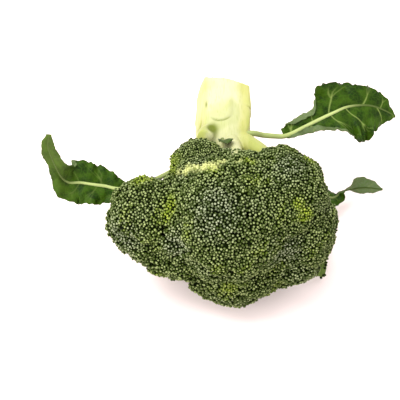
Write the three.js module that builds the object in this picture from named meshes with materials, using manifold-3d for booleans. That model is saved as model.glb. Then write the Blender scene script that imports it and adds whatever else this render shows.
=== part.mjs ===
// A head of broccoli, freshly cut and lying on its side on a table: a stout stalk that divides into
// branches, a crown of bud clusters (florets) on the branches, and the few leaves left on the stalk.
// Units are millimetres. The plant is laid out as it grew, standing on its cut end with +Z towards
// the crown, and is then laid down as one group.
import * as THREE from "three";
import { mergeVertices } from "three/addons/utils/BufferGeometryUtils.js";
import Module from "manifold-3d";

const wasm = await Module();
wasm.setup();

// ---------------------------------------------------------------- driving dimensions
const GAP = 0.35; // between pieces that touch
const LIE_ANGLE = 4; // degrees by which the crown looks above level as the head lies

const STALK = {
  // The flats left by the leaf bases meet at these corners: degrees round the stalk, and distance
  // from its middle.
  corners: [[-133, 22.7], [-80, 18.4], [-35, 25.3], [20, 21.5], [90, 20.5], [152, 26.5]],
  length: 84,
  taperFrom: 42, // height where it begins to narrow
  taper: 0.32, // share of the radius lost at the top
  cutSlope: 0.22, // of the cut end, which is higher on its right side
  facets: [24, 7], // round it and along it
};

// Each floret: the middle of its cluster, the cluster's radius, the height up the stalk where its
// branch leaves, and the radius of the branch.
const FLORETS = {
  crown: { at: [4, 4, 133], radius: 44.5, leaves: 78, stem: 10 },
  front: { at: [8, -38, 132], radius: 39, leaves: 74, stem: 9 },
  left: { at: [-55, -6, 123], radius: 30.5, leaves: 60, stem: 6.5 },
  right: { at: [55, -10, 129], radius: 27, leaves: 68, stem: 6.5 },
  upper_right: { at: [40, 16, 120], radius: 34, leaves: 60, stem: 8 },
  upper_left: { at: [-18, 18, 97], radius: 21.5, leaves: 48, stem: 6 },
  upper_middle: { at: [8, 18, 114], radius: 24, leaves: 66, stem: 7 },
  inner_left: { at: [-32, 12, 117], radius: 15.5, leaves: 60, stem: 4 },
  middle_left: { at: [-33, -18, 130], radius: 32.5, leaves: 74, stem: 7.5 },
  lower_right: { at: [46, -30, 128], radius: 31, leaves: 76, stem: 6.5 },
  under_left: { at: [-34, -47, 100], radius: 27.5, leaves: 52, stem: 6.5 },
  under_right: { at: [36, -47, 100], radius: 27.5, leaves: 54, stem: 6.5 },
};
const BRANCH_BEND = 0.45; // where a branch bends, as a share of its length
const BRANCH_RISE = 0.06; // how far it bends towards the crown, as a share of its length
const BRANCH_SHORT = 0.2; // how far it ends below its cluster's middle, as a share of the radius
const BRANCH_SWELL = [1.25, 0.9]; // of a branch at the stalk and under its cluster
const BRANCH_FACETS = [12, 5]; // round it and along it
const CLUSTER_DETAIL = 4; // subdivision of each cluster's surface
const LUMP = 0.03; // height of the lumps on a cluster, as a share of its radius
const UNDERSIDE = 0.75; // depth of a cluster below its middle, as a share of its radius

// Each leaf: points along its rib from the stalk to the tip, where along the rib the blade begins,
// which way the first side faces at a few places along the blade, the widths of the two sides at
// even steps along the blade, how far the sides are raised above the rib, the radius of the stem,
// and how many facets there are along and across the blade.
const LEAVES = {
  right_upper: {
    rib: [
      [6, 6, 55], [20, 11, 54], [30, 6, 51], [39, 7, 53], [45, 10, 56], [51, 15, 58], [59, 19, 56],
      [70, 23, 52], [82, 26, 47], [92, 27, 42], [103, 26, 39], [113, 23, 37], [123, 17, 36], [131, 11, 36],
    ],
    bladeFrom: 0.31,
    sides: [[0, -14, 20], [0, -14, 18], [0, -15, 17]],
    widths: [
      [2, 4, 6, 8, 10, 18, 26, 28, 25, 17, 7, 1],
      [6, 8, 9, 10, 15, 22, 19, 16, 15, 12, 6, 1],
    ],
    raised: 0.12,
    stem: 2.3,
    facets: [20, 4],
  },
  left: {
    rib: [
      [-12, 1, 58], [-33, -6, 72], [-56, -11, 83], [-76, -9, 92], [-89, -6, 92], [-98, -3, 93],
      [-107, -1, 93], [-115, 1, 95], [-121, 6, 96], [-124, 14, 95], [-126, 25, 92], [-126, 34, 89],
      [-124, 43, 86],
    ],
    bladeFrom: 0.42,
    sides: [[0, 11, -16], [0, 11, -16], [3, 10, -14], [14, 0, 0], [14, 0, 0]],
    widths: [
      [3, 8, 12, 15, 16, 16, 12, 7, 7, 6, 5, 2],
      [1, 7, 13, 15, 14, 11, 7, 5, 6, 7, 6, 2],
    ],
    raised: 0.15,
    stem: 2.2,
    facets: [16, 4],
  },
  right_lower: {
    rib: [
      [12, -9, 52], [36, -22, 58], [59, -37, 62], [76, -49, 62], [85, -56, 60], [91, -59, 55],
      [94, -58, 52], [101, -57, 50], [113, -56, 49], [127, -56, 51],
    ],
    bladeFrom: 0.45,
    sides: [[0, -11, 16], [0, -11, 16], [0, -2, 20], [0, 12, 10], [0, 14, -14], [0, 11, -16]],
    widths: [
      [1, 6, 9, 9, 7, 8, 9, 9, 6, 1],
      [1, 6, 9, 9, 5, 3, 4, 5, 4, 1],
    ],
    raised: 0.1,
    stem: 2.1,
    facets: [16, 4],
  },
  small_right: {
    rib: [[14, -10, 60], [46, -25, 68], [67, -43, 88], [75, -56, 107], [75, -64, 118], [74, -70, 128]],
    bladeFrom: 0.6,
    sides: [[-12, 8, -4], [-12, 8, 0], [-12, 6, 2]],
    widths: [
      [1, 4, 5, 4, 3],
      [1, 4, 5, 5, 4],
    ],
    raised: 0.15,
    stem: 1.8,
    facets: [7, 2],
  },
  bract_stalk: {
    rib: [[-1, 11, 60], [-1, 21, 71], [0, 31, 81], [2, 38, 90]],
    bladeFrom: 0.3,
    sides: [[-10, 0, 0], [-10, 0, 0]],
    widths: [
      [1, 3, 4, 4, 1],
      [1, 5, 7, 6, 1],
    ],
    raised: 0.2,
    stem: 1.4,
    facets: [6, 2],
  },
  bract_left: {
    rib: [[-24, -4, 84], [-36, -2, 91], [-45, 6, 98], [-49, 15, 104], [-50, 22, 112]],
    bladeFrom: 0.45,
    sides: [[-8, 0, -4], [-8, 0, -4]],
    widths: [
      [1, 4, 5, 4, 1],
      [1, 4, 5, 4, 1],
    ],
    raised: 0.1,
    stem: 1.5,
    facets: [6, 2],
  },
};
const LEAF_THICKNESS = 1.2;
const LEAF_WAVE = 0.06; // height of the ripple along a leaf's edge, as a share of its width
const LEAF_RIPPLES = [9, 2]; // radians of ripple along a blade, and how far one side lags the other
const LEAF_STEM = [1.25, 0.3]; // thickness of a leaf's stem at the stalk and of its rib at the tip
const LEAF_STEM_CURVE = 0.7; // less than 1 where the stem thins soonest near the stalk
const LEAF_STEM_FACETS = [6, 10]; // round it and along it

const WELD = 1e-3; // points nearer than this are one point
const FAR = 400; // longer than the whole head

// ---------------------------------------------------------------- helpers
const rad = THREE.MathUtils.degToRad;
const vec = (p) => new THREE.Vector3(...p);

// Moves every vertex of a geometry to the place that a function gives for it.
function reshape(geometry, place) {
  const position = geometry.getAttribute("position");
  for (let i = 0; i < position.count; i++) {
    const p = place(new THREE.Vector3().fromBufferAttribute(position, i));
    position.setXYZ(i, p.x, p.y, p.z);
  }
  return geometry;
}

// A closed geometry as a body that can be joined to others and cut.
function solid(geometry) {
  const bare = new THREE.BufferGeometry();
  bare.setAttribute("position", geometry.getAttribute("position"));
  if (geometry.index) bare.setIndex(geometry.index);
  const merged = mergeVertices(bare, WELD);
  return new wasm.Manifold(
    new wasm.Mesh({
      numProp: 3,
      vertProperties: new Float32Array(merged.attributes.position.array),
      triVerts: new Uint32Array(merged.index.array),
    }),
  );
}

function geometryOf(manifold) {
  const { vertProperties, triVerts } = manifold.getMesh();
  const geometry = new THREE.BufferGeometry();
  geometry.setAttribute("position", new THREE.BufferAttribute(vertProperties, 3));
  geometry.setIndex(new THREE.BufferAttribute(triVerts, 1));
  geometry.computeVertexNormals();
  return geometry;
}

// A round bar along a curve, whose radius is a function of how far along it is, from 0 to 1.
function bar(curve, radiusAt, [sides, steps]) {
  const frames = curve.computeFrenetFrames(steps, false);
  const cylinder = new THREE.CylinderGeometry(1, 1, steps, sides, steps);
  return reshape(cylinder, (p) => {
    const step = Math.round(p.y + steps / 2);
    const along = step / steps;
    return curve
      .getPointAt(along)
      .addScaledVector(frames.normals[step], -p.x * radiusAt(along))
      .addScaledVector(frames.binormals[step], p.z * radiusAt(along));
  });
}

// ---------------------------------------------------------------- stalk
// Distance from the middle of the stalk to its skin, along the straight line between two corners.
function stalkSection(around) {
  const degrees = THREE.MathUtils.radToDeg(around);
  const count = STALK.corners.length;
  const first = STALK.corners.findLastIndex(([angle]) => angle <= degrees);
  const [a, near] = STALK.corners[(first + count) % count];
  const [b, far] = STALK.corners[(first + 1) % count];
  const past = rad((degrees - a + 360) % 360);
  const ahead = rad((b - degrees + 360) % 360);
  return (near * far * Math.sin(past + ahead)) / (near * Math.sin(past) + far * Math.sin(ahead));
}

function stalkRadius(around, height) {
  const upper = THREE.MathUtils.smoothstep(height, STALK.taperFrom, STALK.length);
  return stalkSection(around) * (1 - STALK.taper * upper);
}

function stalkSolid(extra = 0) {
  const body = new THREE.CylinderGeometry(1, 1, 1, ...STALK.facets);
  return solid(
    reshape(body, (p) => {
      const height = (p.y + 0.5) * STALK.length;
      const around = Math.atan2(p.z, p.x);
      const outer = stalkRadius(around, height) + extra;
      const r = Math.hypot(p.x, p.z) * outer;
      const x = r * Math.cos(around);
      const slope = STALK.cutSlope * x * Math.max(0, 0.5 - p.y) ** 2;
      const end = p.y > 0 ? extra : -extra;
      return new THREE.Vector3(x, -r * Math.sin(around), height + slope + end);
    }),
  );
}

// ---------------------------------------------------------------- florets and their branches
const foot = (floret) => new THREE.Vector3(0, 0, floret.leaves);
const heading = (floret) => vec(floret.at).sub(foot(floret)).normalize();

function branchSolid(floret, extra = 0) {
  const start = foot(floret);
  const end = vec(floret.at).addScaledVector(heading(floret), -BRANCH_SHORT * floret.radius);
  const reach = start.distanceTo(end);
  const bend = start.clone().addScaledVector(heading(floret), BRANCH_BEND * reach);
  bend.z += BRANCH_RISE * reach;
  const curve = new THREE.QuadraticBezierCurve3(start, bend, end);
  const swell = (along) => THREE.MathUtils.lerp(...BRANCH_SWELL, along);
  const radiusAt = (along) => floret.stem * swell(along) + extra;
  return solid(bar(curve, radiusAt, BRANCH_FACETS));
}

// Smooth lumps over a cluster, different for each seed. The factors are only unlike each other, so
// that no pattern shows.
function lumps(direction, seed) {
  const { x, y, z } = direction;
  return (
    Math.sin(5.1 * x + 1.7 * seed) * Math.cos(4.3 * y - 0.9 * seed) +
    0.7 * Math.sin(7.3 * z + 2.1 * seed + 3.7 * x) * Math.cos(6.1 * y + seed)
  );
}

// A dome of buds: round above, and shallower below where the branch comes in.
function clusterSolid(floret, seed) {
  const axis = heading(floret);
  const ball = new THREE.IcosahedronGeometry(1, CLUSTER_DETAIL);
  return solid(
    reshape(ball, (p) => {
      const place = p.clone().multiplyScalar(floret.radius * (1 + LUMP * lumps(p, seed)));
      const above = place.dot(axis);
      if (above < 0) place.addScaledVector(axis, (UNDERSIDE - 1) * above);
      return place.add(vec(floret.at));
    }),
  );
}

// Everything on the far side of the plane where the spheres of two clusters meet.
function beyond(floret, other) {
  const across = vec(other.at).sub(vec(floret.at));
  const d = across.length();
  const meets = (d * d + floret.radius ** 2 - other.radius ** 2) / (2 * d);
  const block = new THREE.BoxGeometry(FAR, FAR, FAR);
  block.translate(0, 0, FAR / 2 + meets - GAP / 2);
  block.applyQuaternion(
    new THREE.Quaternion().setFromUnitVectors(new THREE.Vector3(0, 0, 1), across.normalize()),
  );
  block.translate(...floret.at);
  return solid(block);
}

function near(floret, other) {
  const roomForLumps = 1.1;
  return vec(floret.at).distanceTo(vec(other.at)) < roomForLumps * (floret.radius + other.radius);
}

// ---------------------------------------------------------------- leaves
// The width at a share of the way along the blade, read smoothly between the given widths.
function widthAt(widths, u) {
  const steps = widths.length - 1;
  const i = Math.min(Math.floor(u * steps), steps - 1);
  const between = THREE.MathUtils.smoothstep(u * steps - i, 0, 1);
  return THREE.MathUtils.lerp(widths[i], widths[i + 1], between);
}

// A leaf: a blade that is folded a little along its rib, with the rib and the leaf's stem as a bar.
function leafSolid(leaf) {
  const curve = new THREE.CatmullRomCurve3(leaf.rib.map(vec), false, "centripetal");
  const facing = new THREE.CatmullRomCurve3(leaf.sides.map(vec), false, "centripetal");
  const blade = new THREE.BoxGeometry(1, 1, 1, leaf.facets[0], 1, leaf.facets[1]);
  const [ripples, lag] = LEAF_RIPPLES;
  const body = reshape(blade, (p) => {
    const u = p.x + 0.5;
    const v = 2 * p.z;
    const along = leaf.bladeFrom + (1 - leaf.bladeFrom) * u;
    const forward = curve.getTangentAt(along);
    const side = facing.getPoint(u);
    side.addScaledVector(forward, -side.dot(forward)).normalize();
    const up = new THREE.Vector3().crossVectors(side, forward);
    const width = widthAt(leaf.widths[v > 0 ? 0 : 1], u);
    const wave = LEAF_WAVE * Math.sin(ripples * u + (v > 0 ? 0 : lag)) * v * v;
    return curve
      .getPointAt(along)
      .addScaledVector(side, v * width)
      .addScaledVector(up, (leaf.raised * Math.abs(v) + wave) * width + p.y * LEAF_THICKNESS);
  });
  const radiusAt = (along) => leaf.stem * THREE.MathUtils.lerp(...LEAF_STEM, along ** LEAF_STEM_CURVE);
  return solid(bar(curve, radiusAt, LEAF_STEM_FACETS)).add(solid(body));
}

// ---------------------------------------------------------------- assembly
const GREEN = { color: 0x4f6b2a, roughness: 0.85, metalness: 0 };
const PALE = { color: 0xd9e3a0, roughness: 0.6, metalness: 0 };
const LEAF = { color: 0x2f5a2c, roughness: 0.55, metalness: 0 };

const group = new THREE.Group();
group.name = "broccoli";
function addNode(name, manifold, look) {
  const mesh = new THREE.Mesh(geometryOf(manifold), new THREE.MeshStandardMaterial(look));
  mesh.name = name;
  group.add(mesh);
}

const names = Object.keys(FLORETS);
const stalk = stalkSolid();
addNode("stalk", stalk, PALE);

// Each branch stops at the stalk and at the branches before it.
const fatBranches = [];
const stalkRoom = stalkSolid(GAP);
for (const name of names) {
  const taken = fatBranches.reduce((all, one) => all.add(one), stalkRoom);
  addNode("branch_" + name, branchSolid(FLORETS[name]).subtract(taken), PALE);
  fatBranches.push(branchSolid(FLORETS[name], GAP));
}
const stemRoom = fatBranches.reduce((all, one) => all.add(one), stalkRoom);

// Neighbouring clusters press flat against each other, and each has a socket for its branch.
names.forEach((name, seed) => {
  let cluster = clusterSolid(FLORETS[name], seed);
  for (const other of names) {
    if (other !== name && near(FLORETS[name], FLORETS[other])) {
      cluster = cluster.subtract(beyond(FLORETS[name], FLORETS[other]));
    }
  }
  addNode("floret_" + name, cluster.subtract(stemRoom), GREEN);
});

for (const [name, leaf] of Object.entries(LEAVES)) {
  addNode("leaf_" + name, leafSolid(leaf).subtract(stemRoom), LEAF);
}

// The head is laid down, and the middle of its underside is put at the origin.
group.rotation.x = rad(90 - LIE_ANGLE);
group.updateMatrixWorld(true);
const extent = new THREE.Box3().setFromObject(group, true);
const middle = extent.getCenter(new THREE.Vector3());
group.position.set(-middle.x, -middle.y, -extent.min.z);
export default group;
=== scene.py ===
import math
from functools import cache

import bpy
import numpy as np
from bpy.props import FloatProperty, IntProperty, PointerProperty, StringProperty
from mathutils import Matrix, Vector
from mathutils.kdtree import KDTree


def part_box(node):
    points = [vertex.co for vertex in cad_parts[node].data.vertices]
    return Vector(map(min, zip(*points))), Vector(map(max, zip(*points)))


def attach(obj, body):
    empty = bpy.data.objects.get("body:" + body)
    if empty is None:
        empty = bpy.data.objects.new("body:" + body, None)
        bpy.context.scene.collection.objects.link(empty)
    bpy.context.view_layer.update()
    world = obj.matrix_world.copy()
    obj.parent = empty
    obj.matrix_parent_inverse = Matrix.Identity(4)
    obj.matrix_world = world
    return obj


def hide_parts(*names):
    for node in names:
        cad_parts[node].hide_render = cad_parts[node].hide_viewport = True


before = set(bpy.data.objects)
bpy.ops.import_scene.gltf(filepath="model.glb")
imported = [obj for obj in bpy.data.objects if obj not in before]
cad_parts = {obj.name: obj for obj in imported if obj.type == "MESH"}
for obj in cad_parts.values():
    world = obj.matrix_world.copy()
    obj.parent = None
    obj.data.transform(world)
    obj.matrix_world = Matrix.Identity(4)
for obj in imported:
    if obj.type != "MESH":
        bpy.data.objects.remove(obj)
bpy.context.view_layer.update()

bl_info = {
    "name": "Broccoli Head",
    "version": (1, 0, 0),
    "blender": (4, 5, 0),
    "location": "View3D > Sidebar > Broccoli",
    "description": "Makes a head of broccoli from buds, fine stems, a stalk and leaves",
    "category": "Add Mesh",
}

# ---------------------------------------------------------------- the plant as it grew
# Places are in millimetres in the plant's own frame, which stands on the cut end of the stalk
# with +Z towards the crown. lay() turns them to the frame in which the head lies.
LIE_ANGLE = math.radians(4)
HEART = np.array([0.0, 0.0, 74.0])  # about where the branches leave the stalk
MM = 1000  # in a metre
# The flats of the stalk meet at these corners: degrees round it, and mm from its middle.
STALK_CORNERS = ((-133, 22.7), (-80, 18.4), (-35, 25.3), (20, 21.5), (90, 20.5), (152, 26.5))
STALK_LENGTH = 84.0
STALK_FACETS = (24, 8)  # points round the frame's stalk, and rings of them along it
TAPER_FROM = 42.0  # height where it begins to narrow
TAPER = 0.32  # share of the radius lost at the top
CUT_SLOPE = 0.22  # of the cut end, which is higher on its right side

# Each floret: the middle of its cluster, the cluster's radius, the height up the stalk where its
# branch leaves, and the radius of the branch.
FLORETS = {
    "crown": ((4, 4, 133), 44.5, 78, 10),
    "front": ((8, -38, 132), 39, 74, 9),
    "left": ((-55, -6, 123), 30.5, 60, 6.5),
    "right": ((55, -10, 129), 27, 68, 6.5),
    "upper_right": ((40, 16, 120), 34, 60, 8),
    "upper_left": ((-18, 18, 97), 21.5, 48, 6),
    "upper_middle": ((8, 18, 114), 24, 66, 7),
    "inner_left": ((-32, 12, 117), 15.5, 60, 4),
    "middle_left": ((-33, -18, 130), 32.5, 74, 7.5),
    "lower_right": ((46, -30, 128), 31, 76, 6.5),
    "under_left": ((-34, -47, 100), 27.5, 52, 6.5),
    "under_right": ((36, -47, 100), 27.5, 54, 6.5),
}
BRANCH_BEND = 0.45  # where a branch bends, as a share of its length
BRANCH_RISE = 0.06  # how far it bends towards the crown, as a share of its length
VALLEY = 4.0  # how softly neighbouring clusters blend, in mm
BUD_DEPTH = 2.6  # from the fixed frame's surface down to the feet of the buds, in mm
DOME_SPACING = 25.0  # between the larger domes that sprigs stand in, in mm
SPRIG_GAPS = (0.66, 0.6, 0.6, 0.6)  # least gaps in each round, as shares of the sprig spacing
BUD_CROWDING = 0.76  # least gap between buds, as a share of the bud spacing
BUDS_MISSING = 0.012  # share of the buds that didn't grow
BUD_DEEPEST = 4.5  # a bud further than this under its neighbours' feet is left out, in mm
STALK_VOXEL = 0.9  # the finest detail when the stalk and its branches are grown together, in mm
GOLDEN_ANGLE = math.pi * (3 - math.sqrt(5))  # from each point of a sunflower spiral to the next
HEX_CELL = 0.866  # area of a honeycomb's cell where the cells are one apart
# Where two clusters stay further apart than the soft valleys would have them: the middle, the reach
# and the depth in mm.
NOTCHES = (((-43, 21, 107), 6.5, 9.0), ((74, 19, 117), 6.0, 4.5))
CENTRES = np.array([f[0] for f in FLORETS.values()], float)
RADII = np.array([f[1] for f in FLORETS.values()], float)

# How large the buds of a floret are beside those of the crown; young side florets have finer ones.
BUD_SIZES = {
    "upper_left": 0.76, "inner_left": 0.9, "upper_right": 0.92, "right": 0.95, "under_left": 0.95
}

# Patches where the buds are a fresher yellow green: the middle of each and how far it reaches.
FRESH_PATCHES = (
    ((-37, 22, 135), 7), ((-40, 18, 142), 5), ((51, 33, 143), 5), ((56, 26, 147), 6),
    ((4, -27, 169), 6), ((-34, 25, 100), 8), ((-59, 20, 111), 8), ((60, 38, 106), 5),
    ((18, 45, 112), 6), ((-8, 44, 122), 4),
)
# Here the youngest buds and their stems are still cream, in the gap between two florets.
CREAM_PATCHES = (
    ((-30, 29, 111), 3.5), ((-24, 32, 112), 4.5), ((-18, 37, 115), 4.5), ((-13, 41, 117), 4.5),
    ((-7, 43, 118), 4.0), ((-1, 41, 112), 3.0), ((11, 41, 113), 2.5),
)
# Single buds that stand apart: the floret that each belongs to and where it is.
STRAY_BUDS = (
    ("lower_right", (77.9, -62.3, 116.3)), ("lower_right", (77.6, -63.8, 118.6)),
    ("lower_right", (77.8, -64.9, 120.5)), ("lower_right", (76.8, -65.9, 122.4)),
    ("lower_right", (75.4, -69.0, 127.4)), ("lower_right", (77.0, -68.8, 127.2)),
    ("lower_right", (74.0, -69.6, 128.0)), ("left", (-46.0, 20.4, 110.6)),
    ("left", (-47.8, 21.3, 111.0)), ("left", (-43.0, 19.0, 109.8)),
)
# Where the grey waxy bloom is thickest.
BLOOM_PATCHES = (
    ((-6, 40, 157), 20), ((-70, 0, 142), 14), ((-10, 28, 108), 9), ((45, 40, 120), 12),
    ((44, -2, 158), 14), ((-33, 6, 158), 12),
)


def unit(v):
    """Vectors of length one, along the last axis."""
    v = np.asarray(v, float)
    return v / np.maximum(np.linalg.norm(v, axis=-1, keepdims=True), 1e-9)


def smooth(x, low=0.0, high=1.0):
    """0 below low, 1 above high, and a smooth step between."""
    t = np.clip((np.asarray(x, float) - low) / (high - low), 0, 1)
    return t * t * (3 - 2 * t)


def settings():
    """The sizes and colours that the panel keeps."""
    return bpy.context.scene.broccoli


def stalk_section(around):
    """Distance from the middle of the stalk to its skin, which is flat between the corners."""
    degrees = (np.degrees(around) - STALK_CORNERS[0][0]) % 360 + STALK_CORNERS[0][0]
    angles = np.array([c[0] for c in STALK_CORNERS] + [STALK_CORNERS[0][0] + 360], float)
    radii = np.array([c[1] for c in STALK_CORNERS] + [STALK_CORNERS[0][1]], float)
    i = np.clip(np.searchsorted(angles, degrees, side="right") - 1, 0, len(angles) - 2)
    past, ahead = np.radians(degrees - angles[i]), np.radians(angles[i + 1] - degrees)
    near, far = radii[i], radii[i + 1]
    return near * far * np.sin(past + ahead) / (near * np.sin(past) + far * np.sin(ahead))


def stalk_point(height, around, roundness=0.0):
    """A point on the skin of the stalk at a height, in mm, and an angle round it.

    With roundness 0 it has the flats of the frame's stalk, and with 1 it is round.
    """
    upper = smooth(height, TAPER_FROM, STALK_LENGTH)
    section = stalk_section(around) * (1 - roundness) + settings().stalk_radius * MM * roundness
    radius = section * (1 - TAPER * upper)
    x = radius * np.cos(around)
    slope = CUT_SLOPE * x * np.clip(1 - height / STALK_LENGTH, 0, 1) ** 2
    return np.stack([x, -radius * np.sin(around), height + slope], -1)


@cache
def origin_in_frame():
    """Where the middle of the stalk's cut end lies in the frame, in mm, from its node's box."""
    sides, rings = STALK_FACETS
    around, height = np.meshgrid(
        np.linspace(0, math.tau, sides, endpoint=False), np.linspace(0, STALK_LENGTH, rings)
    )
    own = turned(stalk_point(height, around).reshape(-1, 3))
    low, high = (np.array(corner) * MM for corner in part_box("stalk"))
    return (low + high) / 2 - (own.min(0) + own.max(0)) / 2


def turned(points):
    """Points of the plant turned from standing to lying."""
    c, s = math.cos(math.pi / 2 - LIE_ANGLE), math.sin(math.pi / 2 - LIE_ANGLE)
    x, y, z = np.asarray(points, float).T
    return np.stack([x, y * c - z * s, y * s + z * c], -1)


def lay(points):
    """Points of the plant in mm as places in the frame in metres."""
    return (turned(points) + origin_in_frame()) / MM


# ---------------------------------------------------------------- mesh code
PRESSED = 0.0006  # metres above the table below which a piece is squashed


class Shape:
    """Gathers the points and faces of one mesh, with the numbers kept at each point."""

    def __init__(self):
        self.points, self.faces, self.marks, self.count = [], [], {}, 0

    def add(self, points, faces, **marks):
        points = np.asarray(points, float).reshape(-1, 3)
        self.faces += [np.asarray(f, int) + self.count for f in faces if len(f)]
        self.points.append(points)
        for name in set(self.marks) | set(marks):
            kept = self.marks.setdefault(name, [np.zeros(self.count)] if self.count else [])
            value = np.asarray(marks.get(name, 0.0), float)
            kept.append(np.broadcast_to(value, len(points)).copy())
        self.count += len(points)


def make_mesh(name, points, faces, marks=None):
    """A mesh of points in metres and of lists of triangles and quads."""
    loops = np.concatenate([f.ravel() for f in faces])
    sizes = np.concatenate([np.full(len(f), f.shape[1]) for f in faces])
    starts = np.concatenate([[0], np.cumsum(sizes)[:-1]])
    mesh = bpy.data.meshes.new(name)
    mesh.vertices.add(len(points))
    mesh.vertices.foreach_set("co", points.astype(np.float32).ravel())
    mesh.loops.add(len(loops))
    mesh.loops.foreach_set("vertex_index", loops.astype(np.int32))
    mesh.polygons.add(len(sizes))
    mesh.polygons.foreach_set("loop_start", starts.astype(np.int32))
    mesh.update(calc_edges=True)
    for key, values in (marks or {}).items():
        layer = mesh.attributes.new(key, "FLOAT", "POINT")
        layer.data.foreach_set("value", np.concatenate(values).astype(np.float32))
    mesh.polygons.foreach_set("use_smooth", np.ones(len(sizes), bool))
    return mesh


def make_piece(name, shape, material, slot, *nodes):
    """The finished object of a shape, riding on the frame and standing for the named CAD nodes."""
    points = lay(np.concatenate(shape.points))
    # What would be below the table is pressed flat against it.
    low = points[:, 2] < PRESSED
    points[low, 2] = PRESSED * np.exp((points[low, 2] - PRESSED) / (4 * PRESSED))
    piece = bpy.data.objects.new(name, make_mesh(name, points, shape.faces, shape.marks))
    bpy.context.scene.collection.objects.link(piece)
    piece.data.materials.append(material)
    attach(piece, "root")
    if nodes:
        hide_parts(*nodes)


def ring_faces(rings, sides):
    """Faces of a pole, a stack of rings of points and another pole, in that order."""
    faces = []
    k = np.arange(sides)
    after = (k + 1) % sides
    for ring in range(rings - 1):
        a = 1 + ring * sides
        faces.append(np.stack([a + k, a + after, a + sides + after, a + sides + k], -1))
    faces.append(np.stack([np.zeros(sides, int), 1 + after, 1 + k], -1))
    last = 1 + (rings - 1) * sides
    faces.append(np.stack([np.full(sides, last + sides), last + k, last + after], -1))
    return faces


def frames_along(points):
    """Directions along and across a line of points, carried along it without twisting."""
    ahead = unit(np.gradient(points, axis=0))
    side = np.empty_like(ahead)
    start = np.cross(ahead[0], [0.0, 0.0, 1.0])
    if np.linalg.norm(start) < 0.2:
        start = np.cross(ahead[0], [1.0, 0.0, 0.0])
    side[0] = unit(start)
    for i in range(1, len(points)):
        side[i] = unit(side[i - 1] - ahead[i] * np.dot(side[i - 1], ahead[i]))
    return ahead, side, np.cross(ahead, side)


def add_tube(shape, points, radii, sides, ribs=0.0, **marks):
    """A closed round tube along points, with five shallow ribs round it if asked."""
    ahead, side, across = frames_along(points)
    angle = np.arange(sides) * math.tau / sides
    wave = 1 + ribs * np.cos(5 * angle)
    offset = side[:, None] * np.cos(angle)[:, None] + across[:, None] * np.sin(angle)[:, None]
    skin = points[:, None] + offset * (radii[:, None] * wave)[:, :, None]
    rings = len(points)
    low = points[0] - ahead[0] * radii[0] * 0.4
    high = points[-1] + ahead[-1] * radii[-1] * 0.4
    body = np.concatenate([[low], skin.reshape(-1, 3), [high]])
    grown = {
        key: np.concatenate([[v[0]], np.repeat(v, sides), [v[-1]]]) if np.ndim(v) else v
        for key, v in marks.items()
    }
    shape.add(body, ring_faces(rings, sides), **grown)


def bezier(a, b, c, steps):
    """Points on a curve from a to c that is pulled towards b."""
    t = np.linspace(0, 1, steps)[:, None]
    return (1 - t) ** 2 * a + 2 * t * (1 - t) * b + t**2 * c


def spline(points, samples):
    """Evenly spaced points on a smooth curve through the given ones."""
    p = np.asarray(points, float)
    p = np.concatenate([[2 * p[0] - p[1]], p, [2 * p[-1] - p[-2]]])
    fine = []
    for i in range(1, len(p) - 2):
        t = np.linspace(0, 1, 24, endpoint=i == len(p) - 3)[:, None]
        a, b, c, d = p[i - 1 : i + 3]
        square, cube = 2 * a - 5 * b + 4 * c - d, 3 * b - a - 3 * c + d
        fine.append(0.5 * (2 * b + (c - a) * t + square * t**2 + cube * t**3))
    fine = np.concatenate(fine)
    run = np.concatenate([[0], np.cumsum(np.linalg.norm(np.diff(fine, axis=0), axis=1))])
    even = np.linspace(0, run[-1], samples)
    return np.stack([np.interp(even, run, fine[:, k]) for k in range(3)], -1), run[-1]


def wander(points, seed, size):
    """Smooth noise from -1 to 1 whose lumps are about size across, for points in mm."""
    rng = np.random.default_rng(seed)
    total = np.zeros(len(points))
    for _ in range(7):
        way = unit(rng.normal(size=3)) * math.tau / (size * rng.uniform(1.4, 3.0))
        total += np.sin(points @ way + rng.uniform(0, math.tau))
    return total / 3.2


# ---------------------------------------------------------------- materials
FIBRE_APART, FIBRE_LENGTH = 0.0008, 0.010  # of the fibres in the stalk's skin, in metres
VEIN_CELLS_PER_MM = 0.34  # of a leaf's finest net of veins, whose cells are about 3 mm across
CLOUDS_PER_MM = 0.12  # of the paler clouds on a leaf, which are about 8 mm across
EASED = {"interpolation_type": "SMOOTHSTEP"}
IN_COLOUR = {"data_type": "RGBA"}


def linear(colour):
    """An sRGB hex colour as linear red, green, blue and alpha."""
    parts = [int(colour[i : i + 2], 16) / 255 for i in (1, 3, 5)]
    return (*(c / 12.92 if c <= 0.04045 else ((c + 0.055) / 1.055) ** 2.4 for c in parts), 1.0)


def add_node(material, kind, inputs=None, output=0, **properties):
    """Adds a node, sets its properties, gives its inputs values or links, and returns an output."""
    tree = material.node_tree
    made = tree.nodes.new("ShaderNode" + kind)
    for name, value in properties.items():
        setattr(made, name, value)
    for name, value in (inputs or {}).items():
        if isinstance(value, bpy.types.NodeSocket):
            tree.links.new(value, made.inputs[name])
        else:
            made.inputs[name].default_value = value
    return made.outputs[output]


def new_material(name, marks, **shader):
    """A material and its shader, with the numbers that the mesh keeps at each point for it."""
    material = bpy.data.materials.new(name)
    material.use_nodes = True
    surface = material.node_tree.nodes["Principled BSDF"]
    for socket, value in shader.items():
        surface.inputs[socket.replace("_", " ")].default_value = value
    kept = {
        mark: add_node(material, "Attribute", None, "Fac", attribute_name=mark) for mark in marks
    }
    return material, surface, kept


def connect(material, source, surface, socket):
    """Gives a socket of the shader what comes out of a node."""
    material.node_tree.links.new(source, surface.inputs[socket])


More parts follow.
